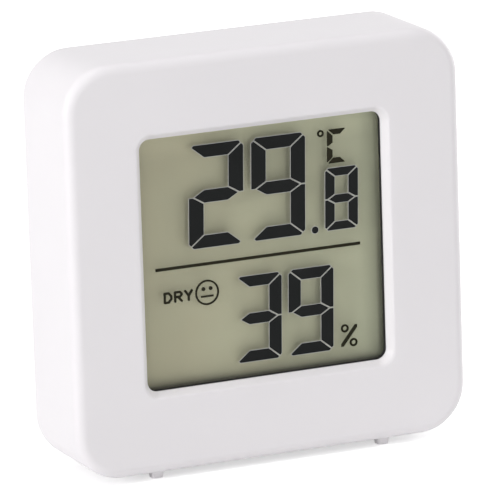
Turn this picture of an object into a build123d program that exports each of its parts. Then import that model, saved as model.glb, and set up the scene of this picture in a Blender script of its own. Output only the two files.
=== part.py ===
from build123d import *
import os

# A small square room thermometer and hygrometer with a reflective glass display.
# Millimetres. +Z is up, the display faces -Y, and the origin is the middle of the footprint
# on the table. A depth is a distance behind the flat front face.

# Body shell
body_width = 45.0
body_height = 44.1
body_depth = 12.6
corner_radius = 5.15
front_edge_radius = 1.1
back_edge_radius = 1.5
wall = 1.8
front_wall = 1.8

# Four moulded pips that the body stands on
pip_height = 0.75
pip_spacing = 26.15
pip_inset = 1.75
pip_root_width = 1.6
pip_tip_width = 1.2
pip_corner = 0.3
pip_sunk = 0.6

# Bezel round the display window, and the window's bevel
bezel_left = 8.44
bezel_right = 8.94
bezel_top = 8.43
bezel_bottom = 8.7
window_corner = 1.15
bevel_width = 0.6
bevel_depth = 0.8
lip_thickness = 0.2
window_edge_radius = 0.35

# Layers of the display, from the front
gasket_thickness = 0.25
gasket_shift = 0.12
polariser_thickness = 0.15
mark_thickness = 0.1
glass_thickness = 0.4
cell_gap = 0.08
reflector_thickness = 0.1
glass_margin = 1.2
glass_ledge = 2.6
film_inset = 0.4
seal_width = 0.8

# Digits as shares of the window's width and height, from its lower left corner:
# left edge, foot, width, height, upright bar, crossbar
large_digit_shares = (0.195, 0.5377, 0.2296, 0.413, 0.0656, 0.0554)
tenths_digit_shares = (0.7606, 0.5394, 0.1429, 0.2534, 0.0451, 0.0382)
unit_letter_shares = (0.7772, 0.8065, 0.0854, 0.1404, 0.028, 0.0266)
humidity_digit_shares = (0.3746, 0.0588, 0.1938, 0.3492, 0.0567, 0.0491)
large_step_share = 0.2576
humidity_step_share = 0.2175

# Small signs, placed as shares of the window: across, up
degree_place_shares = (0.756, 0.9327)
point_place_shares = (0.7213, 0.5522)
percent_place_shares = (0.8176, 0.0679)
percent_size_shares = (0.0681, 0.084)
divider_end_shares = (0.0575, 0.9085)
divider_level_share = 0.476
word_place_shares = (0.0864, 0.3381)
word_size_shares = (0.1118, 0.0457)
face_place_shares = (0.2657, 0.3621)
face_radius_share = 0.0492
degree_radius = 0.38
point_radius = 0.38
percent_ring_radius = 0.45
percent_ring_lift = 0.15
percent_ring_drop = 0.11
percent_bar = 0.25
percent_stroke = 0.22
symbol_stroke = 0.2
divider_stroke = 0.32
word_stroke = 0.25
face_stroke = 0.2

# Features of the face as shares of its radius
eye_radius_share = 0.155
eye_side_share = 0.303
eye_rise_share = 0.3
mouth_width_share = 1.05
mouth_drop_share = 0.3

# How a digit is cut into its bars
segment_gap = 0.15
digit_slant_share = 0.03
corner_cut_share = 0.32
tip_share = 0.3

# Tray behind the glass, and the rubber connector in it
tray_wall = 1.0
tray_floor = 1.2
connector_width = 1.6
connector_end = 1.0

# Circuit board
board_thickness = 1.0
board_edge_gap = 0.4
board_screw_inset = 2.1
board_screw_spacing = 14.0
board_boss_radius = 1.7

# Screws
screw_radius = 0.8
screw_head_radius = 1.5
screw_head_height = 0.9
screw_slot_width = 0.4
screw_slot_depth = 0.45
cover_screw_length = 5.0
board_screw_length = 2.9
screw_column_radius = 2.0
screw_column_inset = 2.5
column_pilot_depth = 5.6

# Coin cell and its bay
cell_diameter = 20.0
cell_thickness = 3.2
cell_rise = 1.0
cell_edge = 0.5
cell_step = 0.3
bay_gap = 0.5
bay_wall = 0.9

# Contacts
contact_thickness = 0.2
contact_height = 0.9
leaf_width = 3.0
leaf_base = 3.0
leaf_run = 3.0
leaf_tip = 3.0
clip_width = 4.0
clip_foot = 2.4

# Rear cover
cover_thickness = 1.6
cover_block_thickness = 3.0
cover_block_lip = 0.7
vent_count = 4
vent_width = 1.0
vent_height = 3.2
vent_spacing = 2.1
vent_first = 4.6
vent_inset = 3.1

# Battery door
door_thickness = 1.4
door_border = 1.5
door_barrel_radius = 1.1
door_stub_radius = 0.6
door_stub_length = 1.0
door_rib_width = 1.0
door_rib_length = 11.0
door_rib_spacing = 8.0
door_scoop_radius = 6.0
door_scoop_depth = 0.7

# Fold-out stand, a flat U round the door
stand_to_door_share = 0.022
stand_arm_share = 0.0666
stand_thickness = 1.8
stand_reach = 18.0
stand_axis_rise = 3.0
stand_recess_depth = 2.0
stand_nail_width = 8.0
stand_nail_size = 0.8
stand_corner = 1.6
pin_radius = 0.5
pin_outer = 0.9
pin_cap = 0.5
pin_inner = 0.45

# Unit button, its switch and stem
button_radius = 1.5
button_flange_radius = 2.1
button_flange_thickness = 0.6
button_inset = 2.75
button_tail = 0.6
button_recess = 0.2
button_edge = 0.3
switch_width = 4.6
switch_length = 3.4
stem_radius = 0.8
stem_sunk = 0.3
stem_well = 0.9
stem_height = 0.8

# Small parts on the board
chip_radius = 3.4
chip_height = 1.3
chip_edge = 0.9
chip_x = 0.0
chip_inset = 5.1
crystal_radius = 1.0
crystal_length = 6.0
crystal_x = 8.5
crystal_inset = 6.5
lead_size = 0.3
lead_run = 1.2
sensor_width = 6.0
sensor_length = 4.4
sensor_height = 2.4
sensor_x = -8.3
sensor_slot_width = 0.6
sensor_slot_length = 3.0
sensor_slot_count = 4
sensor_slot_depth = 0.8
bead_radius = 0.9
bead_height = 3.2
bead_x = 7.8
bead_lead_radius = 0.2
bead_lead_spacing = 0.8
capacitor_length = 1.6
capacitor_width = 0.8
capacitor_height = 0.8
resistor_length = 1.6
resistor_width = 0.8
resistor_height = 0.45
small_part_spacing = 1.9
capacitor_x = 4.6
capacitor_inset = 2.1
resistor_x = -11.0
resistor_inset = 2.9
capacitor_count = 4
resistor_count = 4

# Magnet behind the lower edge of the cover
magnet_width = 16.0
magnet_height = 3.2
magnet_thickness = 1.5
magnet_skin = 0.8
magnet_inset = 2.5

# Clearances
overrun = 0.5
cover_gap = 0.12
glass_gap = 0.15
part_gap = 0.2
thread_gap = 0.03
running_gap = 0.06
door_gap = 0.12
stand_gap = 0.15
pin_fit = 0.02
cell_gap_to_door = 0.15
cover_to_board_gap = 0.2
button_gap = 0.08
flange_gap = 0.05

# Places worked out from the sizes above
front_y = -body_depth / 2
centre_z = pip_height + body_height / 2
cavity_width = body_width - 2 * wall
cavity_height = body_height - 2 * wall
cavity_corner = corner_radius - wall
window_width = body_width - bezel_left - bezel_right
window_height = body_height - bezel_top - bezel_bottom
window_shift_x = (bezel_left - bezel_right) / 2
window_shift_z = (bezel_bottom - bezel_top) / 2
lip_depth = bevel_depth + lip_thickness
gasket_back = lip_depth + gasket_thickness
front_film_back = gasket_back + polariser_thickness
front_glass_back = front_film_back + glass_thickness
cell_back = front_glass_back + cell_gap
rear_glass_back = cell_back + glass_thickness
rear_film_back = rear_glass_back + polariser_thickness
stack_back = rear_film_back + reflector_thickness
board_front = stack_back + tray_floor
board_back = board_front + board_thickness
cover_front = body_depth - cover_thickness
block_front = body_depth - cover_block_thickness
window_left = window_shift_x - window_width / 2
window_right = window_shift_x + window_width / 2
window_bottom = window_shift_z - window_height / 2
window_top = window_shift_z + window_height / 2
face_radius = face_radius_share * window_width
glass_left = window_left - glass_margin
glass_right = window_right + glass_margin
glass_top = window_top + glass_margin
rear_glass_bottom = window_bottom - glass_margin
front_glass_bottom = rear_glass_bottom - glass_ledge
connector_z = front_glass_bottom + glass_ledge / 2
cell_radius = cell_diameter / 2
cell_front = board_back + contact_height
cell_rear = cell_front + cell_thickness
bay_radius = cell_radius + bay_gap
door_half_width = bay_radius + door_border
door_bottom = cell_rise - bay_radius - door_border
door_axis_z = cell_rise + bay_radius + bay_wall + door_barrel_radius
door_axis_depth = body_depth - door_barrel_radius
door_top = door_axis_z + door_barrel_radius + door_gap
stand_axis_depth = body_depth - stand_thickness / 2
stand_bottom = stand_axis_rise - stand_reach
stand_to_door = stand_to_door_share * body_width
stand_arm = stand_arm_share * body_width
stand_half_width = door_half_width + stand_to_door + stand_arm
cover_block_width = 2 * (stand_half_width + pin_outer + pin_cap)
column_x = cavity_width / 2 - screw_column_inset
column_z = cavity_height / 2 - screw_column_inset
board_width = cavity_width - 2 * board_edge_gap
board_height = cavity_height - 2 * board_edge_gap
board_screw_x = cavity_width / 2 - board_screw_inset
button_z = cavity_height / 2 - button_inset
vent_z = cavity_height / 2 - vent_inset
magnet_z = magnet_inset - cavity_height / 2
chip_z = chip_inset - board_height / 2
crystal_z = crystal_inset - board_height / 2
capacitor_z = capacitor_inset - board_height / 2
resistor_z = resistor_inset - board_height / 2
flange_back = cover_front - flange_gap
flange_front = flange_back - button_flange_thickness
stem_top = flange_front - button_tail
switch_top = stem_top - stem_height


def at_depth(depth):
    """Plane parallel to the front face, seen from the front, with its origin at the body's middle."""
    return Plane(origin=(0, front_y + depth, centre_z), x_dir=(1, 0, 0), z_dir=(0, -1, 0))


def slab(outline, front, back):
    """Solid of an outline drawn as seen from the front, between two depths."""
    return extrude(at_depth(front) * outline, amount=back - front, dir=(0, 1, 0))


def panel(left, right, bottom, top, radius=0):
    """Rectangle given by its edges, with round corners if a radius is given."""
    middle = Pos((left + right) / 2, (bottom + top) / 2)
    if radius:
        return middle * RectangleRounded(right - left, top - bottom, radius)
    return middle * Rectangle(right - left, top - bottom)


def disc(x, z, radius):
    """Circle at a place on the front plane."""
    return Pos(x, z) * Circle(radius)


def rod(x_from, x_to, depth, z, radius):
    """Round bar along X at a depth and a height above the body's middle."""
    start = Plane(origin=(x_from, front_y + depth, centre_z + z), x_dir=(0, 1, 0), z_dir=(1, 0, 0))
    return extrude(start * Circle(radius), amount=x_to - x_from, dir=(1, 0, 0))


def save(name, *shapes):
    """Write one node as the group of the solids in the given shapes."""
    solids = [solid for shape in shapes for solid in shape.solids()]
    export_step(solids[0] if len(solids) == 1 else Compound(children=solids), f"parts/{name}.step")


def front_glass_outline(grow=0):
    return panel(glass_left - grow, glass_right + grow, front_glass_bottom - grow, glass_top + grow)


def rear_glass_outline(grow=0):
    return panel(glass_left - grow, glass_right + grow, rear_glass_bottom - grow, glass_top + grow)


def window_outline(grow=0):
    return panel(window_left - grow, window_right + grow, window_bottom - grow, window_top + grow,
                 window_corner + grow)


def corner_places(x, z):
    return [(side * x, level * z) for side in (-1, 1) for level in (-1, 1)]


def body_block():
    """Rounded square block with soft front and back edges."""
    block = slab(RectangleRounded(body_width, body_height, corner_radius), 0, body_depth)
    block = fillet(block.faces().sort_by(Axis.Y)[0].edges(), front_edge_radius)
    return fillet(block.faces().sort_by(Axis.Y)[-1].edges(), back_edge_radius)


def bevelled_window(block):
    """Cut the window with its bevel and ease the bevel's front edge."""
    reach = bevel_width * (1 + overrun / bevel_depth)
    bevel = loft([at_depth(bevel_depth) * window_outline(), at_depth(-overrun) * window_outline(reach)])
    opening = slab(window_outline(), bevel_depth - overrun / 2, front_wall + overrun)
    block = block - bevel - opening
    rim_x = window_width / 2 + bevel_width + window_edge_radius
    rim_z = window_height / 2 + bevel_width + window_edge_radius
    rim = [edge for edge in block.edges().group_by(Axis.Y)[0]
           if abs(edge.center().X - window_shift_x) < rim_x
           and abs(edge.center().Z - centre_z - window_shift_z) < rim_z]
    return fillet(rim, window_edge_radius)


def cavity():
    """Room inside the shell, less the corner columns and board bosses that stay solid."""
    inside = RectangleRounded(cavity_width, cavity_height, cavity_corner)
    room = slab(inside, front_wall, body_depth + overrun)
    for x, z in corner_places(column_x, column_z):
        side, level = (1 if x > 0 else -1), (1 if z > 0 else -1)
        corner = Pos(x + side * wall, z + level * wall) * Rectangle(2 * wall, 2 * wall)
        column = slab(disc(x, z, screw_column_radius) + corner, front_wall, cover_front)
        room = room - column
    for x, z in corner_places(board_screw_x, board_screw_spacing / 2):
        side = 1 if x > 0 else -1
        bridge = Rectangle(board_screw_inset, 2 * board_boss_radius)
        foot = Pos(x + side * board_screw_inset / 2, z) * bridge
        room = room - slab(disc(x, z, board_boss_radius) + foot, front_wall, board_front)
    return room


def pip(x, y):
    """Tapered foot under the body."""
    root = Pos(x, y, pip_height + pip_sunk) * RectangleRounded(pip_root_width, pip_root_width, pip_corner)
    tip = Pos(x, y, 0) * RectangleRounded(pip_tip_width, pip_tip_width, pip_corner)
    return loft([tip, root])


def front_housing():
    """Cup that is the front, the sides and the feet, with columns for the screws."""
    shell = bevelled_window(body_block())
    shell = shell - cavity()
    shell = shell - slab(front_glass_outline(glass_gap), lip_depth, front_wall + overrun)
    for x, z in corner_places(column_x, column_z):
        shell = shell - slab(disc(x, z, screw_radius + thread_gap), cover_front - column_pilot_depth,
                             cover_front + overrun)
    for x, z in corner_places(board_screw_x, board_screw_spacing / 2):
        shell = shell - slab(disc(x, z, screw_radius + thread_gap), front_wall, board_front + overrun)
    for x in (-pip_spacing / 2, pip_spacing / 2):
        for y in (front_y + pip_inset, -front_y - pip_inset):
            shell = shell + pip(x, y)
    return shell


def display_gasket():
    """Black foam frame, seated slightly off so that it shows at the window's right and bottom edges."""
    frame = rear_glass_outline() - Pos(-gasket_shift, gasket_shift) * window_outline()
    return slab(frame, lip_depth, gasket_back)


def film(front, back):
    return slab(rear_glass_outline(-film_inset), front, back)


def front_polariser(marks):
    """Front film with a shallow pocket for each dark area, which is let into it."""
    return film(gasket_back, front_film_back) - marks


def front_glass():
    return slab(front_glass_outline(), front_film_back, front_glass_back)


def rear_glass():
    return slab(rear_glass_outline(), cell_back, rear_glass_back)


def cell_seal():
    return slab(rear_glass_outline() - rear_glass_outline(-seal_width), front_glass_back, cell_back)


def mark(outline):
    """Dark area let into the front film, drawn from the window's lower left corner."""
    return slab(Pos(window_left, window_bottom) * outline, gasket_back, gasket_back + mark_thickness)


def digit_bars(width, height, upright, crossbar, lit):
    """Outlines of the lit bars of a seven-bar digit with its lower left corner at the origin."""
    cut = corner_cut_share * upright
    tip = tip_share * upright
    middle = height / 2
    top_bar = [(cut, height), (width - cut, height), (width - cut / 2, height - cut / 2),
               (width - upright, height - crossbar), (upright, height - crossbar),
               (cut / 2, height - cut / 2)]
    middle_bar = [(tip, middle), (upright, middle + crossbar / 2), (width - upright, middle + crossbar / 2),
                  (width - tip, middle), (width - upright, middle - crossbar / 2),
                  (upright, middle - crossbar / 2)]
    right_bar = [(width, height - cut), (width, middle), (width - tip, middle),
                 (width - upright, middle + crossbar / 2), (width - upright, height - crossbar),
                 (width - cut / 2, height - cut / 2)]

    def turned(points, flip_x, flip_z):
        return [(width - x if flip_x else x, height - z if flip_z else z) for x, z in points]

    bars = {
        "top": top_bar,
        "middle": middle_bar,
        "bottom": turned(top_bar, False, True),
        "upper_right": right_bar,
        "lower_right": turned(right_bar, False, True),
        "upper_left": turned(right_bar, True, False),
        "lower_left": turned(right_bar, True, True),
    }
    outlines = []
    for name in lit:
        slanted = [(x + digit_slant_share * z, z) for x, z in bars[name]]
        bar = make_face(Polyline(*slanted, close=True))
        outlines.append(offset(bar, -segment_gap / 2, kind=Kind.INTERSECTION))
    return outlines


lit_bars = {
    "2": ["top", "upper_right", "middle", "lower_left", "bottom"],
    "3": ["top", "upper_right", "middle", "lower_right", "bottom"],
    "8": ["top", "upper_right", "upper_left", "middle", "lower_right", "lower_left", "bottom"],
    "9": ["top", "upper_right", "upper_left", "middle", "lower_right", "bottom"],
    "C": ["top", "upper_left", "lower_left", "bottom"],
}


def digit(sign, shares, shift=0):
    """Solids of one digit, moved to the right by a shift."""
    across, foot, width, height, upright, crossbar = shares
    bars = digit_bars(width * window_width, height * window_height, upright * window_width,
                      crossbar * window_height, lit_bars[sign])
    return [mark(Pos(across * window_width + shift, foot * window_height) * bar) for bar in bars]


def in_window(shares):
    """Place or size in the window from its shares of the width and height."""
    return shares[0] * window_width, shares[1] * window_height


def ring(x, z, radius, stroke):
    return Pos(x, z) * (Circle(radius) - Circle(radius - stroke))


def stroke_between(start, end, width):
    """Straight stroke with square ends."""
    line = Vector(*end) - Vector(*start)
    middle = (Vector(*start) + Vector(*end)) / 2
    angle = Vector(1, 0).get_signed_angle(line, Vector(0, 0, 1))
    return Pos(middle.X, middle.Y) * Rot(0, 0, angle) * Rectangle(line.length, width)


def temperature_digits():
    solids = []
    for place, sign in enumerate("29"):
        solids += digit(sign, large_digit_shares, place * large_step_share * window_width)
    solids += digit("8", tenths_digit_shares)
    return solids + [mark(disc(*in_window(point_place_shares), point_radius))]


def humidity_digits():
    solids = []
    for place, sign in enumerate("39"):
        solids += digit(sign, humidity_digit_shares, place * humidity_step_share * window_width)
    return solids


def unit_symbols():
    """Degree ring and letter of the temperature, and the percent sign."""
    solids = digit("C", unit_letter_shares)
    solids.append(mark(ring(*in_window(degree_place_shares), degree_radius, symbol_stroke)))
    left, foot = in_window(percent_place_shares)
    width, height = in_window(percent_size_shares)
    cut = percent_bar * height / width
    bar = Polyline((left, foot), (left + percent_bar, foot), (left + width, foot + height - cut),
                   (left + width, foot + height), (left + width - percent_bar, foot + height),
                   (left, foot + cut), close=True)
    solids.append(mark(make_face(bar)))
    for x, z in ((left + percent_ring_radius, foot + height - percent_ring_radius + percent_ring_lift),
                 (left + width - percent_ring_radius, foot + percent_ring_radius - percent_ring_drop)):
        solids.append(mark(ring(x, z, percent_ring_radius, percent_stroke)))
    return solids


# Letter strokes of the comfort word, as shares of the letter's width and height
letter_stroke_shares = {
    "D": [((0.0, 0.0), (0.0, 1.0)), ((0.0, 1.0), (0.6, 1.0)), ((0.6, 1.0), (1.0, 0.65)),
          ((1.0, 0.65), (1.0, 0.35)), ((1.0, 0.35), (0.6, 0.0)), ((0.6, 0.0), (0.0, 0.0))],
    "R": [((0.0, 0.0), (0.0, 1.0)), ((0.0, 1.0), (0.75, 1.0)), ((0.75, 1.0), (1.0, 0.8)),
          ((1.0, 0.8), (1.0, 0.68)), ((1.0, 0.68), (0.75, 0.48)), ((0.75, 0.48), (0.0, 0.48)),
          ((0.45, 0.48), (1.0, 0.0))],
    "Y": [((0.0, 1.0), (0.5, 0.45)), ((1.0, 1.0), (0.5, 0.45)), ((0.5, 0.45), (0.5, 0.0))],
}
letter_width_share = 0.24
letter_step_share = 0.38


def comfort_word():
    """Plain three-letter word that says the air is dry."""
    word_left, word_foot = in_window(word_place_shares)
    word_width, word_height = in_window(word_size_shares)
    letter_width = word_width * letter_width_share
    height = word_height - word_stroke
    solids = []
    for place, letter in enumerate("DRY"):
        left = word_left + word_stroke / 2 + place * word_width * letter_step_share
        foot = word_foot + word_stroke / 2
        strokes = []
        for start, end in letter_stroke_shares[letter]:
            a = (left + start[0] * letter_width, foot + start[1] * height)
            b = (left + end[0] * letter_width, foot + end[1] * height)
            strokes += [stroke_between(a, b, word_stroke), disc(*a, word_stroke / 2),
                        disc(*b, word_stroke / 2)]
        solids.append(mark(Sketch() + strokes))
    return solids


def comfort_face():
    """Plain round face with a level mouth."""
    x, z = in_window(face_place_shares)
    eyes = [mark(disc(x + side * eye_side_share * face_radius, z + eye_rise_share * face_radius,
                      eye_radius_share * face_radius)) for side in (-1, 1)]
    mouth = Pos(x, z - mouth_drop_share * face_radius) * Rectangle(mouth_width_share * face_radius,
                                                                 symbol_stroke)
    return [mark(ring(x, z, face_radius, face_stroke)), mark(mouth)] + eyes


def divider_line():
    left, right = (share * window_width for share in divider_end_shares)
    level = divider_level_share * window_height
    return [mark(panel(left, right, level - divider_stroke / 2, level + divider_stroke / 2))]


def display_tray():
    """Tray that holds the glass against the window, with a slot for the rubber connector."""
    tray = slab(front_glass_outline(glass_gap + tray_wall), front_wall, board_front)
    tray = tray - slab(front_glass_outline(glass_gap), front_wall - overrun, front_glass_back)
    tray = tray - slab(rear_glass_outline(glass_gap), front_wall - overrun, stack_back)
    tray = tray - slab(connector_outline(part_gap / 2), front_wall, board_front + overrun)
    for x, z in corner_places(column_x, column_z):
        tray = tray - slab(disc(x, z, screw_column_radius + part_gap), 0, body_depth)
    return tray


def connector_outline(grow=0):
    return panel(glass_left + connector_end - grow, glass_right - connector_end + grow,
                 connector_z - connector_width / 2 - grow, connector_z + connector_width / 2 + grow)


def display_connector():
    return slab(connector_outline(), front_glass_back, board_front)


def circuit_board():
    board = slab(Rectangle(board_width, board_height), board_front, board_back)
    notch = 2 * (board_width / 2 - column_x + screw_column_radius + part_gap)
    for x, z in corner_places(board_width / 2, board_height / 2):
        corner = Pos(x, z) * Rectangle(notch, notch)
        board = board - slab(corner, board_front - overrun, board_back + overrun)
    for x, z in corner_places(board_screw_x, board_screw_spacing / 2):
        board = board - slab(disc(x, z, screw_radius + part_gap / 2), board_front - overrun,
                             board_back + overrun)
    return board


def screw(x, z, seat, length):
    """Pan-head screw driven forwards from the back, its head resting at the seat's depth."""
    head = slab(disc(x, z, screw_head_radius), seat, seat + screw_head_height)
    for turn in (0, 90):
        slot = Pos(x, z) * Rot(0, 0, turn) * Rectangle(screw_head_radius, screw_slot_width)
        head = head - slab(slot, seat + screw_head_height - screw_slot_depth,
                           seat + screw_head_height + overrun)
    return head + slab(disc(x, z, screw_radius), seat - length, seat)


def cover_screw_seat():
    return body_depth - screw_head_height - part_gap / 2


def chip():
    """Round drop of black resin over the bare chip."""
    drop = slab(disc(chip_x, chip_z, chip_radius), board_back, board_back + chip_height)
    return fillet(drop.faces().sort_by(Axis.Y)[-1].edges(), chip_edge)


def crystal():
    """Small metal can that lies on the board with its two leads."""
    depth = board_back + crystal_radius
    can = rod(crystal_x - crystal_length / 2, crystal_x + crystal_length / 2, depth, crystal_z,
              crystal_radius)
    end = crystal_x + crystal_length / 2
    for side in (-1, 1):
        z = crystal_z + side * crystal_radius / 2
        lead = panel(end, end + lead_run, z - lead_size / 2, z + lead_size / 2)
        foot = panel(end + lead_run - lead_size, end + lead_run, z - lead_size / 2, z + lead_size / 2)
        can = can + slab(lead, depth - lead_size / 2, depth + lead_size / 2)
        can = can + slab(foot, board_back, depth + lead_size / 2)
    return can


def humidity_sensor():
    """Slotted case over the moisture-sensing plate."""
    case = slab(Pos(sensor_x, vent_z) * Rectangle(sensor_width, sensor_length), board_back,
                board_back + sensor_height)
    step = sensor_width / (sensor_slot_count + 1)
    for place in range(sensor_slot_count):
        x = sensor_x - sensor_width / 2 + (place + 1) * step
        slot = Pos(x, vent_z) * Rectangle(sensor_slot_width, sensor_slot_length)
        case = case - slab(slot, board_back + sensor_height - sensor_slot_depth,
                           board_back + sensor_height + overrun)
    return case


def thermistor():
    """Glass bead on two upright leads."""
    middle = board_back + bead_height - bead_radius
    bead = Pos(bead_x, front_y + middle, centre_z + vent_z) * Sphere(bead_radius)
    for side in (-1, 1):
        x = bead_x + side * bead_lead_spacing / 2
        bead = bead + slab(disc(x, vent_z, bead_lead_radius), board_back, middle)
    return bead


def small_parts(count, x, z, length, width, height):
    """Row of small blocks soldered to the back of the board."""
    return [slab(Pos(x + place * small_part_spacing, z) * Rectangle(width, length), board_back,
                 board_back + height) for place in range(count)]


def negative_contact():
    """Bent leaf from its pad on the board up to the middle of the cell."""
    base_end = leaf_base + leaf_run
    top = contact_height
    profile = Polyline((0, 0), (leaf_base, 0), (base_end, top - contact_thickness),
                       (base_end + leaf_tip, top - contact_thickness), (base_end + leaf_tip, top),
                       (base_end - contact_thickness, top),
                       (leaf_base - contact_thickness, contact_thickness),
                       (0, contact_thickness), close=True)
    leaf_x = -base_end - leaf_tip / 2
    leaf_z = centre_z + cell_rise - leaf_width / 2
    start = Plane(origin=(leaf_x, front_y + board_back, leaf_z), x_dir=(1, 0, 0), z_dir=(0, 0, 1))
    return extrude(start * make_face(profile), amount=leaf_width, dir=(0, 0, 1))


def clip_inner():
    return -cell_radius - running_gap


def positive_contact():
    """Angled clip whose upright lies against the rim of the cell."""
    bottom, top = cell_rise - clip_width / 2, cell_rise + clip_width / 2
    upright = slab(panel(clip_inner() - contact_thickness, clip_inner(), bottom, top), board_back,
                   cell_rear - cell_edge)
    foot = slab(panel(clip_inner() - clip_foot, clip_inner(), bottom, top), board_back,
                board_back + contact_thickness)
    return upright + foot


def coin_cell():
    """Cell with the smaller stepped face towards the board."""
    can = slab(disc(0, cell_rise, cell_radius), cell_front + cell_step, cell_rear)
    can = fillet(can.faces().sort_by(Axis.Y)[-1].edges(), cell_edge)
    return can + slab(disc(0, cell_rise, cell_radius - 2 * cell_edge), cell_front, cell_front + cell_step)


def stand_outline(grow=0):
    """Flat U with its arms up, as seen from the front, without the round pivot ends."""
    half = stand_half_width + grow
    inner = stand_half_width - stand_arm - grow
    outer = panel(-half, half, stand_bottom - grow, stand_axis_rise)
    outer = fillet(outer.vertices().group_by(Axis.Y)[0], stand_corner + grow)
    gap = panel(-inner, inner, stand_bottom + stand_arm + grow, stand_axis_rise + overrun)
    return outer - gap


def stand():
    """Fold-out stand with a rounded pivot end on each arm and a nail rebate in the crossbar."""
    frame = slab(stand_outline(), body_depth - stand_thickness, body_depth)
    for side in (-1, 1):
        near, far = sorted((side * (stand_half_width - stand_arm), side * stand_half_width))
        frame = frame + rod(near, far, stand_axis_depth, stand_axis_rise, stand_thickness / 2)
        frame = frame - rod(near - overrun, far + overrun, stand_axis_depth, stand_axis_rise,
                            pin_radius + running_gap)
    nail = panel(-stand_nail_width / 2, stand_nail_width / 2, stand_bottom - overrun,
                 stand_bottom + stand_nail_size)
    return frame - slab(nail, body_depth - stand_nail_size, body_depth + overrun)


def stand_pin(side):
    """Steel pin that runs through one arm of the stand into the cover on both sides."""
    near, far = sorted((side * (stand_half_width - stand_arm - pin_inner),
                        side * (stand_half_width + pin_outer)))
    return rod(near, far, stand_axis_depth, stand_axis_rise, pin_radius)


def stand_recess():
    half = stand_half_width + stand_gap
    inner = stand_half_width - stand_arm - stand_gap
    top = stand_axis_rise + stand_thickness / 2 + stand_gap
    recess = slab(stand_outline(stand_gap), body_depth - stand_recess_depth, body_depth + overrun)
    for side in (-1, 1):
        near, far = sorted((side * inner, side * half))
        recess = recess + slab(panel(near, far, stand_axis_rise - stand_thickness, top),
                               body_depth - stand_recess_depth, body_depth + overrun)
    return recess


def door_recess():
    """Rebate for the battery door with a trench for its hinge barrel and sockets for its stubs."""
    rebate = slab(panel(-door_half_width, door_half_width, door_bottom, door_top),
                  body_depth - door_thickness, body_depth + overrun)
    trench_front = body_depth - 2 * door_barrel_radius - door_gap
    trench_bottom = door_axis_z - door_barrel_radius - door_gap
    trench = slab(panel(-door_half_width, door_half_width, trench_bottom, door_top),
                  trench_front, body_depth + overrun)
    reach = door_half_width + door_stub_length
    stubs = rod(-reach, reach, door_axis_depth, door_axis_z, door_stub_radius + running_gap)
    return rebate + trench + stubs


def vents():
    cuts = []
    for side in (-1, 1):
        for place in range(vent_count):
            x = side * (vent_first + place * vent_spacing)
            slot = Pos(x, vent_z) * SlotOverall(vent_height, vent_width, rotation=90)
            cuts.append(slab(slot, block_front - overrun, body_depth + overrun))
    return cuts


def rear_cover():
    """Back plate with the battery bay, the door's hinge, the stand's recess, vents and screw seats."""
    plate = slab(RectangleRounded(cavity_width - 2 * cover_gap, cavity_height - 2 * cover_gap,
                                  cavity_corner - cover_gap), cover_front, body_depth)
    block_bottom = stand_bottom - stand_gap - cover_block_lip
    block_top = door_top + cover_block_lip
    block = slab(panel(-cover_block_width / 2, cover_block_width / 2, block_bottom, block_top),
                 block_front, body_depth)
    for x, z in corner_places(column_x, column_z):
        block = block - slab(disc(x, z, screw_column_radius + part_gap), 0, cover_front)
    bay = slab(disc(0, cell_rise, bay_radius + bay_wall), board_back + cover_to_board_gap, body_depth)
    cover = plate + block + bay
    cover = cover - slab(disc(0, cell_rise, bay_radius), 0, body_depth + overrun)
    cover = cover - door_recess() - stand_recess()
    clip_side = clip_inner() - clip_foot - part_gap
    half_clip = clip_width / 2 + part_gap
    slot = panel(clip_side, clip_inner() + bay_gap, cell_rise - half_clip, cell_rise + half_clip)
    cover = cover - slab(slot, board_back, cell_rear)
    for side in (-1, 1):
        near, far = sorted((side * (stand_half_width - stand_arm - pin_inner),
                            side * (stand_half_width + pin_outer)))
        cover = cover - rod(near, far, stand_axis_depth, stand_axis_rise, pin_radius + pin_fit)
    for vent in vents():
        cover = cover - vent
    for x, z in corner_places(column_x, column_z):
        cover = cover - slab(disc(x, z, screw_head_radius + part_gap / 2), cover_screw_seat(),
                             body_depth + overrun)
        cover = cover - slab(disc(x, z, screw_radius + part_gap / 2), cover_front - overrun, body_depth)
    cover = cover - slab(disc(0, button_z, button_radius + button_gap), block_front, body_depth + overrun)
    cover = cover - slab(disc(0, button_z, button_flange_radius + part_gap), 0, cover_front)
    pocket = Pos(0, magnet_z) * Rectangle(magnet_width + 2 * pin_fit, magnet_height + 2 * pin_fit)
    return cover - slab(pocket, cover_front - overrun, body_depth - magnet_skin)


def battery_door():
    """Flush lid hinged at its top edge, with ribs that keep the cell in place."""
    half = door_half_width - door_gap
    lid = slab(panel(-half, half, door_bottom + door_gap, door_axis_z),
               body_depth - door_thickness, body_depth)
    lid = lid + rod(-half, half, door_axis_depth, door_axis_z, door_barrel_radius)
    reach = half + door_stub_length
    lid = lid + rod(-reach, reach, door_axis_depth, door_axis_z, door_stub_radius)
    for side in (-1, 1):
        rib = Pos(side * door_rib_spacing / 2, cell_rise) * Rectangle(door_rib_width, door_rib_length)
        lid = lid + slab(rib, cell_rear + cell_gap_to_door, body_depth - door_thickness)
    scoop_y = front_y + body_depth - door_scoop_depth + door_scoop_radius
    return lid - Pos(0, scoop_y, centre_z + door_bottom + door_gap) * Sphere(door_scoop_radius)


def button():
    """Round push button with a flange that keeps it behind the cover."""
    cap = slab(disc(0, button_z, button_radius), stem_top, body_depth - button_recess)
    cap = fillet(cap.faces().sort_by(Axis.Y)[-1].edges(), button_edge)
    return cap + slab(disc(0, button_z, button_flange_radius), flange_front, flange_back)


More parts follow.
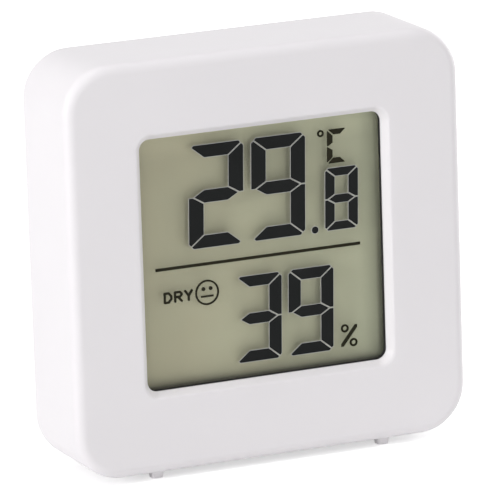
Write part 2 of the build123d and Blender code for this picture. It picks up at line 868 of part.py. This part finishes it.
def switch_body():
    """Push switch on the board with a well for its stem."""
    body = slab(Pos(0, button_z) * Rectangle(switch_width, switch_length), board_back, switch_top)
    return body - slab(disc(0, button_z, stem_radius + running_gap), switch_top - stem_well,
                       switch_top + overrun)


def switch_stem():
    return slab(disc(0, button_z, stem_radius), switch_top - stem_sunk, stem_top)


def magnet():
    back = body_depth - magnet_skin
    return slab(Pos(0, magnet_z) * Rectangle(magnet_width, magnet_height), back - magnet_thickness, back)


def main():
    os.makedirs("parts", exist_ok=True)
    marks = {
        "temperature_digits": temperature_digits(),
        "humidity_digits": humidity_digits(),
        "unit_symbols": unit_symbols(),
        "comfort_word": comfort_word(),
        "comfort_face": comfort_face(),
        "divider_line": divider_line(),
    }
    for name, solids in marks.items():
        save(name, *solids)
    save("front_housing", front_housing())
    save("display_gasket", display_gasket())
    save("front_polariser", front_polariser([solid for solids in marks.values() for solid in solids]))
    save("front_glass", front_glass())
    save("cell_seal", cell_seal())
    save("rear_glass", rear_glass())
    save("rear_polariser", film(rear_glass_back, rear_film_back))
    save("reflector", film(rear_film_back, stack_back))
    save("display_tray", display_tray())
    save("display_connector", display_connector())
    save("circuit_board", circuit_board())
    save("controller_chip", chip())
    save("crystal", crystal())
    save("humidity_sensor", humidity_sensor())
    save("thermistor", thermistor())
    save("capacitors", *small_parts(capacitor_count, capacitor_x, capacitor_z, capacitor_length,
                                    capacitor_width, capacitor_height))
    save("resistors", *small_parts(resistor_count, resistor_x, resistor_z, resistor_length,
                                   resistor_width, resistor_height))
    save("negative_contact", negative_contact())
    save("positive_contact", positive_contact())
    save("coin_cell", coin_cell())
    save("rear_cover", rear_cover())
    save("battery_door", battery_door())
    save("fold_out_stand", stand())
    save("stand_pins", stand_pin(-1), stand_pin(1))
    save("unit_button", button())
    save("button_switch", switch_body())
    save("switch_stem", switch_stem())
    save("magnet", magnet())
    save("cover_screws", *[screw(x, z, cover_screw_seat(), cover_screw_length)
                           for x, z in corner_places(column_x, column_z)])
    save("board_screws", *[screw(x, z, board_back, board_screw_length)
                           for x, z in corner_places(board_screw_x, board_screw_spacing / 2)])


main()
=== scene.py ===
import math
import bpy
from mathutils import Matrix, Vector


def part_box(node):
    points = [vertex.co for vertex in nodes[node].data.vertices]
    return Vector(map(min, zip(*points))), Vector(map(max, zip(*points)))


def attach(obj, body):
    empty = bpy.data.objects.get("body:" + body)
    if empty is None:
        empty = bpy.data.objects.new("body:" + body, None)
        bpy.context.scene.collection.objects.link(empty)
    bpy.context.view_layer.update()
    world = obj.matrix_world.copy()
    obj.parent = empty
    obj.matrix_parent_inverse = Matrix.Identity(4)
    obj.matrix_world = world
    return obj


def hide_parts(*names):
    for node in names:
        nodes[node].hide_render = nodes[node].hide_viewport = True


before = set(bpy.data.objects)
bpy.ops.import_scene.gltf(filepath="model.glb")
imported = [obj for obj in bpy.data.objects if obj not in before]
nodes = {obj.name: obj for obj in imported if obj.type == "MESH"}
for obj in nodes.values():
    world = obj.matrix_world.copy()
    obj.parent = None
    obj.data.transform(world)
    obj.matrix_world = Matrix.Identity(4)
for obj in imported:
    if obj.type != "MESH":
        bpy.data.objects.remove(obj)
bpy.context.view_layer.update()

mm = 0.001
footHeight = 0.75 * mm
bodyMiddle = Vector((0, 0, (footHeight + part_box("front_housing")[1].z) / 2))
print("frame loaded")


# camera at the photograph's angle

cameraView = {
    "azimuth": -23.685,        # degrees, negative looks from the left
    "elevation": 13.423,
    "roll": -1.89,
    "distance": 641.561 * mm,
    "focalPixels": 6077.5,
    "imageWidth": 498,
    "sensorWidth": 36,         # millimetres, as Blender takes it
    "clipStart": 10 * mm,
    "slideRight": -0.403 * mm,
    "slideUp": 0.515 * mm,
}


def addCamera(view):
    a, e, r = (math.radians(view[k]) for k in ("azimuth", "elevation", "roll"))
    back = Vector((math.sin(a) * math.cos(e), -math.cos(a) * math.cos(e), math.sin(e)))
    level = (-back).cross(Vector((0, 0, 1))).normalized()
    upright = level.cross(-back)
    right = math.cos(r) * level + math.sin(r) * upright
    up = math.cos(r) * upright - math.sin(r) * level
    data = bpy.data.cameras.new("photoCamera")
    data.sensor_fit = "HORIZONTAL"
    data.sensor_width = view["sensorWidth"]
    data.lens = view["focalPixels"] / view["imageWidth"] * view["sensorWidth"]
    data.clip_start = view["clipStart"]
    camera = bpy.data.objects.new("photoCamera", data)
    bpy.context.scene.collection.objects.link(camera)
    place = bodyMiddle + back * view["distance"]
    place = place - right * view["slideRight"] - up * view["slideUp"]
    turn = Matrix((right, up, back)).transposed()
    camera.matrix_world = Matrix.Translation(place) @ turn.to_4x4()
    bpy.context.scene.camera = camera


addCamera(cameraView)
bpy.context.scene.view_settings.view_transform = "Standard"
print("camera placed")


# helpers for node trees

colourA, colourB, colourOut = 6, 7, 2        # the sockets of a mix node that are for colours


def addNode(tree, kind, **values):
    made = tree.nodes.new(kind)
    for key, value in values.items():
        if key in made.inputs:
            made.inputs[key].default_value = value
        else:
            setattr(made, key, value)
    return made


def feed(tree, value, socket):
    # links a socket, or sets a number or a colour of three parts
    if isinstance(value, bpy.types.NodeSocket):
        tree.links.new(value, socket)
    elif socket.type == "RGBA":
        socket.default_value = (*value, 1)
    else:
        socket.default_value = value


def newMaterial(name):
    material = bpy.data.materials.new(name)
    material.use_nodes = True
    tree = material.node_tree
    place = addNode(tree, "ShaderNodeTexCoord").outputs["Object"]
    return material, tree, tree.nodes["Principled BSDF"], place


def newGroup(name, sizes, outputs):
    # a node group that takes a place and some sizes, and gives plain numbers
    group = bpy.data.node_groups.new(name, "ShaderNodeTree")
    group.interface.new_socket("Place", in_out="INPUT", socket_type="NodeSocketVector")
    for title, size in sizes.items():
        socket = group.interface.new_socket(title, in_out="INPUT", socket_type="NodeSocketFloat")
        socket.default_value = size
    for title in outputs:
        group.interface.new_socket(title, in_out="OUTPUT", socket_type="NodeSocketFloat")
    return group, group.nodes.new("NodeGroupInput"), group.nodes.new("NodeGroupOutput")


def useGroup(tree, group, place, look):
    # an input such as "Grain Size" takes the look's "grainSize", if it has one
    made = tree.nodes.new("ShaderNodeGroup")
    made.node_tree = group
    tree.links.new(place, made.inputs["Place"])
    for title in made.inputs.keys():
        key = title[0].lower() + title[1:].replace(" ", "")
        if key in look:
            made.inputs[title].default_value = look[key]
    return made


def math2(tree, operation, first, second):
    made = addNode(tree, "ShaderNodeMath", operation=operation)
    feed(tree, first, made.inputs[0])
    feed(tree, second, made.inputs[1])
    return made.outputs[0]


def blendColours(tree, mask, first, second, blendType="MIX"):
    made = addNode(tree, "ShaderNodeMix", data_type="RGBA", blend_type=blendType)
    feed(tree, mask, made.inputs["Factor"])
    feed(tree, first, made.inputs[colourA])
    feed(tree, second, made.inputs[colourB])
    return made.outputs[colourOut]


def spread(tree, value, low, high, start=0.0, end=1.0):
    # start becomes low and end becomes high, and nothing goes past them
    made = addNode(tree, "ShaderNodeMapRange", clamp=True)
    ends = {"From Min": start, "From Max": end, "To Min": low, "To Max": high}
    for title, number in ends.items():
        made.inputs[title].default_value = number
    feed(tree, value, made.inputs["Value"])
    return made.outputs["Result"]


def linkBump(tree, shader, height, depth):
    bump = addNode(tree, "ShaderNodeBump", Strength=1.0, Distance=depth)
    feed(tree, height, bump.inputs["Height"])
    feed(tree, bump.outputs["Normal"], shader.inputs["Normal"])


def paint(tree, shader, mask, look):
    mixed = blendColours(tree, mask, look["colour"], look["second"])
    feed(tree, mixed, shader.inputs["Base Color"])


def roughen(tree, shader, mask, look):
    feed(tree, spread(tree, mask, *look["roughness"]), shader.inputs["Roughness"])


# shared effects

waveScale = 0.3                    # at this scale a wave texture repeats about once a metre
effects = {
    "noiseRoughness": 0.55,
    "grainDetail": 4.0,
    "toneDetail": 2.0,
    "patchDetail": 5.0,
    "patchDistortion": 0.6,
    "speckShare": 0.06,            # radius of a speck, as a share of its cell
    "lineDetail": 2.0,
    "lineDistortion": 0.4,
}


def addTexture(group, start, kind, size, scale=1.0, **values):
    # a texture at the group's place, at a scale that comes from one of its sizes
    made = addNode(group, kind, **values)
    feed(group, start.outputs["Place"], made.inputs["Vector"])
    feed(group, math2(group, "DIVIDE", scale, start.outputs[size]), made.inputs["Scale"])
    return made


def grainGroup(values):
    # fine moulded or cast grain, with a broad uneven tone
    sizes = {"Grain Size": 0.15 * mm, "Tone Size": 8 * mm}
    group, start, end = newGroup("mouldedGrain", sizes, ["Height", "Tone"])
    for title, size, detail in (("Height", "Grain Size", "grainDetail"),
                                ("Tone", "Tone Size", "toneDetail")):
        noise = addTexture(group, start, "ShaderNodeTexNoise", size, Detail=values[detail],
                           Roughness=values["noiseRoughness"])
        feed(group, noise.outputs["Fac"], end.inputs[title])
    return group


def handlingGroup(values):
    # faint rubbed patches for the roughness, and specks of dust for clear layers
    sizes = {"Patch Size": 6 * mm, "Speck Size": 0.5 * mm}
    group, start, end = newGroup("handlingMarks", sizes, ["Rubbed", "Specks"])
    patch = addTexture(group, start, "ShaderNodeTexNoise", "Patch Size",
                       Detail=values["patchDetail"], Distortion=values["patchDistortion"])
    feed(group, patch.outputs["Fac"], end.inputs["Rubbed"])
    cells = addTexture(group, start, "ShaderNodeTexVoronoi", "Speck Size")
    specks = spread(group, cells.outputs["Distance"], 0.0, 1.0, values["speckShare"], 0.0)
    feed(group, specks, end.inputs["Specks"])
    return group


def turnedGroup(values):
    # fine circular lines about the Y axis, as on a pressed or turned metal face
    group, start, end = newGroup("turnedLines", {"Line Size": 0.2 * mm}, ["Height"])
    wave = addTexture(group, start, "ShaderNodeTexWave", "Line Size", waveScale,
                      wave_type="RINGS", rings_direction="Y", Detail=values["lineDetail"],
                      Distortion=values["lineDistortion"])
    feed(group, wave.outputs["Fac"], end.inputs["Height"])
    return group


mouldedGrain = grainGroup(effects)
handlingMarks = handlingGroup(effects)
turnedLines = turnedGroup(effects)


# finishes, each from a look: two colours, sizes of grain, and a range of roughness

toneMiddle = 0.5                   # the middle of the grain's uneven tone


def grainedFinish(name, look):
    material, tree, shader, place = newMaterial(name)
    grain = useGroup(tree, mouldedGrain, place, look)
    marks = useGroup(tree, handlingMarks, place, look)
    paint(tree, shader, grain.outputs["Tone"], look)
    roughen(tree, shader, marks.outputs["Rubbed"], look)
    shader.inputs["Metallic"].default_value = look.get("metallic", 0.0)
    shader.inputs["Specular IOR Level"].default_value = look.get("specular", 0.5)
    linkBump(tree, shader, grain.outputs["Height"], look["grainDepth"])
    return material


def turnedFinish(name, look, centre):
    material, tree, shader, place = newMaterial(name)
    shift = addNode(tree, "ShaderNodeMapping", Location=-centre)
    feed(tree, place, shift.inputs["Vector"])
    lines = useGroup(tree, turnedLines, shift.outputs["Vector"], look)
    grain = useGroup(tree, mouldedGrain, place, look)
    paint(tree, shader, grain.outputs["Tone"], look)
    roughen(tree, shader, lines.outputs["Height"], look)
    shader.inputs["Metallic"].default_value = 1.0
    linkBump(tree, shader, lines.outputs["Height"], look["lineDepth"])
    return material


def layeredFinish(name, look):
    # thin black and grey layers side by side, as in a conductive rubber strip
    material, tree, shader, place = newMaterial(name)
    wave = addNode(tree, "ShaderNodeTexWave", bands_direction="X", Scale=waveScale / look["layer"])
    feed(tree, place, wave.inputs["Vector"])
    paint(tree, shader, wave.outputs["Fac"], look)
    grain = useGroup(tree, mouldedGrain, place, look)
    roughen(tree, shader, grain.outputs["Tone"], look)
    linkBump(tree, shader, wave.outputs["Fac"], look["layerDepth"])
    return material


def boardFinish(name, look):
    # green mask over tracks that show as slightly lighter, raised lines
    material, tree, shader, place = newMaterial(name)
    cells = addNode(tree, "ShaderNodeTexVoronoi", feature="DISTANCE_TO_EDGE",
                    Scale=1 / look["trackSpacing"])
    feed(tree, place, cells.inputs["Vector"])
    track = spread(tree, cells.outputs["Distance"], 0.0, 1.0, look["trackShare"], 0.0)
    paint(tree, shader, track, look)
    grain = useGroup(tree, mouldedGrain, place, look)
    roughen(tree, shader, grain.outputs["Tone"], look)
    linkBump(tree, shader, track, look["trackDepth"])
    return material


def reflectorFinish(name, look):
    # olive film, warmer at the left and greener at the right, with painted light at the top that
    # lifts the shade of the window's top edge and painted shade at its foot and right edge, where
    # the housing's lip shades it
    material, tree, shader, place = newMaterial(name)
    grain = useGroup(tree, mouldedGrain, place, look)
    axes = addNode(tree, "ShaderNodeSeparateXYZ")
    feed(tree, place, axes.inputs["Vector"])
    x, z = axes.outputs["X"], axes.outputs["Z"]
    across = spread(tree, x, 0.0, 1.0, look["left"], look["right"])
    uneven = math2(tree, "SUBTRACT", grain.outputs["Tone"], toneMiddle)
    uneven = math2(tree, "MULTIPLY", uneven, look["uneven"])
    mask = math2(tree, "ADD", across, uneven)
    tone = blendColours(tree, mask, look["colour"], look["second"])
    # painted light: the top of the film is lifted towards a paler tone, against the shade of the
    # window's top edge
    paintedLightMask = spread(tree, z, 0.0, look["paintedLightShare"], look["paintedLightFrom"], look["paintedLightTo"])
    pale = blendColours(tree, paintedLightMask, tone, tone, "ADD")
    # painted shade: darker towards the foot, where the bottom of the window shades the film
    foot = spread(tree, z, 0.0, 1.0, look["footShadeFrom"], look["footShadeTo"])
    shade = math2(tree, "POWER", foot, look["footShadePower"])
    shade = math2(tree, "MULTIPLY", shade, look["footShadeGain"])
    shade = math2(tree, "MINIMUM", shade, look["footShadeMost"])
    # painted shade along the right side, deeper at its outermost edge under the housing's lip
    side = spread(tree, x, 0.0, look["sideShadeShare"], look["sideShadeFrom"], look["sideShadeTo"])
    lip = spread(tree, x, 0.0, look["lipShadeShare"], look["lipShadeFrom"], look["lipShadeTo"])
    low = spread(tree, z, 0.0, 1.0, look["lipShadeTop"], look["lipShadeFoot"])
    shade = math2(tree, "MAXIMUM", shade, math2(tree, "MULTIPLY", lip, low))
    shade = math2(tree, "MAXIMUM", shade, side)
    # all the painted shade takes the film towards the dark colour
    feed(tree, blendColours(tree, shade, pale, look["dark"]), shader.inputs["Base Color"])
    roughen(tree, shader, grain.outputs["Height"], look)
    shader.inputs["Specular IOR Level"].default_value = look["specular"]
    linkBump(tree, shader, grain.outputs["Height"], look["grainDepth"])
    return material


def clearFinish(name, look):
    # clear layers let most of the light straight through and keep a faint satin sheen
    material, tree, shader, place = newMaterial(name)
    marks = useGroup(tree, handlingMarks, place, look)
    feed(tree, look["colour"], shader.inputs["Base Color"])
    roughen(tree, shader, marks.outputs["Rubbed"], look)
    feed(tree, spread(tree, marks.outputs["Specks"], *look["alpha"]), shader.inputs["Alpha"])
    return material


whiteShell = {
    "colour": (0.815, 0.79, 0.812), "second": (0.845, 0.82, 0.842), "grainSize": 0.12 * mm,
    "toneSize": 14 * mm, "grainDepth": 0.006 * mm, "roughness": (0.40, 0.52), "specular": 0.45,
}
greyButton = {
    "colour": (0.42, 0.43, 0.45), "second": (0.47, 0.48, 0.50), "grainSize": 0.1 * mm,
    "toneSize": 3 * mm, "grainDepth": 0.006 * mm, "roughness": (0.42, 0.55),
}
blackFoam = {
    "colour": (0.012, 0.012, 0.012), "second": (0.028, 0.027, 0.026), "grainSize": 0.2 * mm,
    "toneSize": 1 * mm, "grainDepth": 0.06 * mm, "roughness": (0.85, 0.95), "specular": 0.2,
}
darkMark = {
    "colour": (0.011, 0.012, 0.012), "second": (0.016, 0.017, 0.017), "grainSize": 0.1 * mm,
    "toneSize": 3 * mm, "grainDepth": 0.001 * mm, "roughness": (0.5, 0.65), "specular": 0.06,
}
oliveMark = {
    "colour": (0.016, 0.015, 0.008), "second": (0.024, 0.022, 0.013), "grainSize": 0.1 * mm,
    "toneSize": 2 * mm, "grainDepth": 0.001 * mm, "roughness": (0.5, 0.65), "specular": 0.06,
}
paleResin = {
    "colour": (0.62, 0.63, 0.58), "second": (0.68, 0.68, 0.64), "grainSize": 0.2 * mm,
    "toneSize": 2 * mm, "grainDepth": 0.004 * mm, "roughness": (0.3, 0.45),
}
palePlastic = {
    "colour": (0.70, 0.70, 0.67), "second": (0.76, 0.76, 0.73), "grainSize": 0.15 * mm,
    "toneSize": 6 * mm, "grainDepth": 0.005 * mm, "roughness": (0.45, 0.6),
}
blackResin = {
    "colour": (0.010, 0.010, 0.011), "second": (0.020, 0.020, 0.021), "grainSize": 0.15 * mm,
    "toneSize": 1.5 * mm, "grainDepth": 0.005 * mm, "roughness": (0.25, 0.4),
}
sensorPlastic = {
    "colour": (0.58, 0.66, 0.72), "second": (0.64, 0.71, 0.76), "grainSize": 0.1 * mm,
    "toneSize": 2 * mm, "grainDepth": 0.005 * mm, "roughness": (0.45, 0.6),
}
darkGlass = {
    "colour": (0.06, 0.035, 0.018), "second": (0.09, 0.055, 0.03), "grainSize": 0.2 * mm,
    "toneSize": 0.8 * mm, "grainDepth": 0.002 * mm, "roughness": (0.12, 0.25),
}
tanCeramic = {
    "colour": (0.36, 0.24, 0.13), "second": (0.42, 0.29, 0.17), "grainSize": 0.08 * mm,
    "toneSize": 0.8 * mm, "grainDepth": 0.004 * mm, "roughness": (0.45, 0.6),
}
brightNickel = {
    "colour": (0.66, 0.64, 0.60), "second": (0.72, 0.71, 0.68), "grainSize": 0.08 * mm,
    "toneSize": 1.5 * mm, "grainDepth": 0.002 * mm, "roughness": (0.2, 0.34), "metallic": 1.0,
}
plainSteel = {
    "colour": (0.40, 0.40, 0.40), "second": (0.48, 0.48, 0.48), "lineSize": 0.12 * mm,
    "lineDepth": 0.003 * mm, "grainSize": 0.1 * mm, "toneSize": 1 * mm,
    "roughness": (0.28, 0.42),
}
cellSteel = {
    "colour": (0.44, 0.44, 0.43), "second": (0.52, 0.52, 0.51), "lineSize": 0.18 * mm,
    "lineDepth": 0.002 * mm, "grainSize": 0.1 * mm, "toneSize": 4 * mm,
    "roughness": (0.22, 0.34),
}
connectorRubber = {
    "colour": (0.05, 0.05, 0.055), "second": (0.32, 0.33, 0.35), "layer": 0.2 * mm,
    "layerDepth": 0.01 * mm, "roughness": (0.6, 0.75),
}
greenBoard = {
    "colour": (0.012, 0.11, 0.045), "second": (0.02, 0.17, 0.07), "trackSpacing": 2.2 * mm,
    "trackShare": 0.12, "trackDepth": 0.02 * mm, "roughness": (0.25, 0.4),
}
oliveReflector = {
    "colour": (0.487, 0.459, 0.313), "second": (0.485, 0.501, 0.351),      # at left and right
    "left": -14 * mm, "right": 14 * mm, "uneven": 0.7,
    "paintedLightFrom": 33.5 * mm, "paintedLightTo": 36.5 * mm, "paintedLightShare": 0.32,         # heights of the painted light at the top
    "footShadeFrom": 12 * mm, "footShadeTo": 9.1 * mm,                               # heights of the painted shade at the foot
    # curve of the painted shade at the foot, and the dark colour that all the painted shade goes
    # to
    "footShadePower": 6.0, "footShadeGain": 1.5, "footShadeMost": 0.78, "dark": (0.02, 0.02, 0.018),
    "sideShadeFrom": 11.5 * mm, "sideShadeTo": 13.5 * mm, "sideShadeShare": 0.16,         # painted shade over the whole right side
    "lipShadeFrom": 13.05 * mm, "lipShadeTo": 14.0 * mm, "lipShadeShare": 0.68,           # deeper painted shade at its outermost edge, under the lip
    "lipShadeTop": 30 * mm, "lipShadeFoot": 21 * mm,                                 # heights of that painted shade on the edge
    "grainSize": 0.1 * mm, "toneSize": 7 * mm, "grainDepth": 0.003 * mm,
    "roughness": (0.55, 0.7), "specular": 0.2,
}
clearPane = {
    "colour": (0.62, 0.64, 0.56), "roughness": (0.22, 0.3), "alpha": (0.045, 0.12),
}
# painted light: a pale film that shows in the gaps between the dark bars and as a thin outline
# around them
paintedLightGap = {
    "colour": (0.57, 0.57, 0.55), "second": (0.63, 0.63, 0.61), "grainSize": 0.1 * mm,
    "toneSize": 2 * mm, "grainDepth": 0.001 * mm, "roughness": (0.5, 0.6), "specular": 0.2,
}


def middleOf(name):
    low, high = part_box(name)
    return (low + high) / 2


finishes = {
    "shell": grainedFinish("whiteShellPlastic", whiteShell),
    "button": grainedFinish("greyButtonPlastic", greyButton),
    "foam": grainedFinish("blackFoam", blackFoam),
    "dark": grainedFinish("darkDisplayMark", darkMark),
    "olive": grainedFinish("oliveDisplayMark", oliveMark),
    "seal": grainedFinish("paleResin", paleResin),
    "tray": grainedFinish("palePlastic", palePlastic),
    "resin": grainedFinish("blackResin", blackResin),
    "sensor": grainedFinish("sensorPlastic", sensorPlastic),
    "bead": grainedFinish("darkGlassBead", darkGlass),
    "ceramic": grainedFinish("tanCeramic", tanCeramic),
    "nickel": grainedFinish("brightNickel", brightNickel),
    "steel": turnedFinish("plainSteel", plainSteel, middleOf("cover_screws")),
    "cell": turnedFinish("cellSteel", cellSteel, middleOf("coin_cell")),
    "rubber": layeredFinish("connectorRubber", connectorRubber),
    "board": boardFinish("greenBoard", greenBoard),
    "reflector": reflectorFinish("oliveReflector", oliveReflector),
    "clear": clearFinish("clearPane", clearPane),
    "gap": grainedFinish("paintedLightGap", paintedLightGap),
}
finishOfNode = {
    "shell": ["front_housing", "rear_cover", "battery_door", "fold_out_stand"],
    "button": ["unit_button"],
    "foam": ["display_gasket"],
    "dark": ["temperature_digits", "humidity_digits"],
    "olive": ["unit_symbols", "comfort_word", "comfort_face", "divider_line"],
    "seal": ["cell_seal"],
    "tray": ["display_tray", "switch_stem"],
    "resin": ["controller_chip", "resistors", "button_switch"],
    "sensor": ["humidity_sensor"],
    "bead": ["thermistor"],
    "ceramic": ["capacitors"],
    "nickel": ["crystal", "negative_contact", "positive_contact", "magnet"],
    "steel": ["cover_screws", "board_screws", "stand_pins"],
    "cell": ["coin_cell"],
    "rubber": ["display_connector"],
    "board": ["circuit_board"],
    "reflector": ["reflector"],
    "clear": ["front_polariser", "front_glass", "rear_glass", "rear_polariser"],
}


def dress(obj, finish):
    obj.data.materials.clear()
    obj.data.materials.append(finishes[finish])


for finish, names in finishOfNode.items():
    for name in names:
        dress(nodes[name], finish)
print("finishes set on", len(nodes), "nodes")


# modelling helpers

smoothAngle = math.radians(35)
facing = 0.9                       # a face with this share of a direction faces that way


def deselectAll():
    if bpy.context.object and bpy.context.object.mode != "OBJECT":
        bpy.ops.object.mode_set(mode="OBJECT")
    bpy.ops.object.select_all(action="DESELECT")


def makeActive(obj):
    deselectAll()
    obj.select_set(True)
    bpy.context.view_layer.objects.active = obj


def addBlock(name, low, high):
    deselectAll()
    bpy.ops.mesh.primitive_cube_add(size=1, location=(low + high) / 2)
    block = bpy.context.object
    block.name = name
    block.scale = high - low
    bpy.ops.object.transform_apply(location=True, rotation=False, scale=True)
    return block


def selectFaces(obj, wanted):
    # leaves edit mode on, with only the wanted faces selected
    makeActive(obj)
    bpy.ops.object.mode_set(mode="EDIT")
    bpy.ops.mesh.select_mode(type="FACE")
    bpy.ops.mesh.select_all(action="DESELECT")
    bpy.ops.object.mode_set(mode="OBJECT")
    for face in obj.data.polygons:
        face.select = wanted(face)
    bpy.ops.object.mode_set(mode="EDIT")


def bevelled(obj, width, segments=2):
    makeActive(obj)
    bevel = obj.modifiers.new("edge", "BEVEL")
    bevel.width = width
    bevel.segments = segments
    bevel.limit_method = "ANGLE"
    bpy.ops.object.modifier_apply(modifier="edge")
    bpy.ops.object.shade_smooth_by_angle(angle=smoothAngle)


# the clear display pane: front pane with its lower ledge, and the rear pane behind it

displayPane = {
    "sunk": 0.05 * mm,             # how far its front lies behind the front of the front film
    "reflectorGap": 0.01 * mm,
    "edge": 0.04 * mm,
}


def makeDisplayPane(values):
    low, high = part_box("front_glass")
    low = Vector((low.x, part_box("front_polariser")[0].y + values["sunk"], low.z))
    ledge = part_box("rear_glass")[0].z
    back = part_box("reflector")[0].y - values["reflectorGap"]
    pane = addBlock("display_pane", low, high)
    makeActive(pane)
    bpy.ops.object.mode_set(mode="EDIT")
    bpy.ops.mesh.select_all(action="SELECT")
    bpy.ops.mesh.bisect(plane_co=(0, 0, ledge), plane_no=(0, 0, 1))
    selectFaces(pane, lambda face: face.normal.y > facing and face.center.z > ledge)
    bpy.ops.mesh.extrude_region_move(TRANSFORM_OT_translate={"value": (0, back - high.y, 0)})
    bpy.ops.object.mode_set(mode="OBJECT")
    bevelled(pane, values["edge"])
    dress(pane, "clear")
    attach(pane, "root")
    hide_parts("front_polariser", "front_glass", "rear_glass", "rear_polariser")


makeDisplayPane(displayPane)


# thin pale film in the gaps between the dark bars, painted light that keeps the gaps from taking
# the bars' shade

gapLightFilm = {
    "spread": 0.05 * mm,           # how far it reaches past each bar
    "sunk": 0.025 * mm,            # how far its front lies behind the front of the bars
    "thickness": 0.02 * mm,
    "weld": 0.001 * mm,
}


def makeGapLightFilm(node, values):
    source = nodes[node]
    film = bpy.data.objects.new(node + "_painted_light_gap_film", source.data.copy())
    bpy.context.scene.collection.objects.link(film)
    low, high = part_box(node)
    makeActive(film)
    bpy.ops.object.mode_set(mode="EDIT")
    bpy.ops.mesh.select_all(action="SELECT")
    bpy.ops.mesh.remove_doubles(threshold=values["weld"])
    bpy.ops.transform.shrink_fatten(value=values["spread"], use_even_offset=True)
    middle = Vector((0, (low.y + high.y) / 2, 0))
    depth = high.y - low.y + 2 * values["spread"]
    bpy.ops.transform.resize(value=(1, values["thickness"] / depth, 1), center_override=middle)
    front = low.y + values["sunk"] + values["thickness"] / 2
    bpy.ops.transform.translate(value=(0, front - middle.y, 0))
    bpy.ops.object.mode_set(mode="OBJECT")
    dress(film, "gap")
    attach(film, "root")


for node in ("temperature_digits", "humidity_digits"):
    makeGapLightFilm(node, gapLightFilm)
print("display layers made")


# raised plus sign on the face of the coin cell

plusSign = {
    "arm": 1.6 * mm,
    "width": 0.7 * mm,
    "height": 0.05 * mm,
    "edge": 0.02 * mm,
    "rim": 0.9,                    # a face past this share of the half width is at the rim
    "centre": 0.5,                 # a face within this share of it is in the middle of a side
}


def makePlusSign(values):
    low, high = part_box("coin_cell")
    middle = (low + high) / 2
    half = values["width"] / 2
    corner = Vector((middle.x - half, high.y, middle.z - half))
    far = Vector((middle.x + half, high.y + values["height"], middle.z + half))
    sign = addBlock("cell_plus_sign", corner, far)
    for axis, side in ((0, 1), (0, -1), (2, 1), (2, -1)):
        other = 2 - axis
        selectFaces(sign, lambda face: face.normal[axis] * side > facing
                    and (face.center[axis] - middle[axis]) * side > half * values["rim"]
                    and abs(face.center[other] - middle[other]) < half * values["centre"])
        move = [0, 0, 0]
        move[axis] = side * values["arm"]
        bpy.ops.mesh.extrude_region_move(TRANSFORM_OT_translate={"value": move})
        bpy.ops.object.mode_set(mode="OBJECT")
    bevelled(sign, values["edge"], 1)
    dress(sign, "cell")
    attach(sign, "root")


makePlusSign(plusSign)
print("small pieces made")


# floor, light and sky

white = (1, 1, 1)
floorLook = {
    "size": 3.0,
    "colour": (0.92, 0.92, 0.92),
    "roughness": 0.9,
    "near": 0.08,                  # the lift that the camera sees grows from near to far
    "far": 0.35,
    "nearLift": 0.5,
    "farLift": 1.0,
}


def seenByRays(tree, *kinds):
    # 1 for the kinds of rays that are named, 0 for the others
    rays = addNode(tree, "ShaderNodeLightPath")
    seen = rays.outputs[kinds[0]]
    for kind in kinds[1:]:
        seen = math2(tree, "MAXIMUM", seen, rays.outputs[kind])
    return seen


def makeFloor(look):
    deselectAll()
    bpy.ops.mesh.primitive_plane_add(size=look["size"], location=(0, 0, 0))
    floor = bpy.context.object
    floor.name = "floor"
    material, tree, shader, place = newMaterial("paleFloor")
    feed(tree, look["colour"], shader.inputs["Base Color"])
    shader.inputs["Roughness"].default_value = look["roughness"]
    shader.inputs["Specular IOR Level"].default_value = 0.0
    feed(tree, white, shader.inputs["Emission Color"])
    reach = addNode(tree, "ShaderNodeVectorMath", operation="LENGTH")
    feed(tree, place, reach.inputs[0])
    lift = spread(tree, reach.outputs["Value"], look["nearLift"], look["farLift"], look["near"],
                  look["far"])
    seen = seenByRays(tree, "Is Camera Ray", "Is Glossy Ray")
    feed(tree, math2(tree, "MULTIPLY", seen, lift), shader.inputs["Emission Strength"])
    floor.data.materials.append(material)


def makeSky(level):
    world = bpy.data.worlds.new("studio")
    world.use_nodes = True
    bpy.context.scene.world = world
    tree = world.node_tree
    background = tree.nodes["Background"]
    feed(tree, white, background.inputs["Color"])
    seen = seenByRays(tree, "Is Camera Ray", "Is Glossy Ray", "Is Transmission Ray")
    feed(tree, spread(tree, seen, level, 1.0), background.inputs["Strength"])


def addLamp(name, azimuth, elevation, distance, size, watts):
    a, e = math.radians(azimuth), math.radians(elevation)
    toLamp = Vector((math.sin(a) * math.cos(e), -math.cos(a) * math.cos(e), math.sin(e)))
    data = bpy.data.lights.new(name, "AREA")
    data.shape = "SQUARE"
    data.size = size
    data.energy = watts
    lamp = bpy.data.objects.new(name, data)
    lamp.location = bodyMiddle + toLamp * distance
    lamp.rotation_euler = toLamp.to_track_quat("Z", "Y").to_euler()
    bpy.context.scene.collection.objects.link(lamp)


skyLevel = 0.3                     # for all but the rays that see the sky's white
lamps = {                          # azimuth, elevation, distance, size, watts
    "leftLamp": (-77, 12, 0.6, 0.24, 1.86),
    "frontLamp": (2, 4, 0.6, 0.2, 0.49),
    "topLamp": (0, 82, 0.6, 0.35, 1.61),
    "rightLamp": (78, 6, 0.7, 0.4, 0.86),
    "backLamp": (118, 12, 0.7, 0.4, 2.1),
}

makeFloor(floorLook)
makeSky(skyLevel)
for name, place in lamps.items():
    addLamp(name, *place)
print("light set")
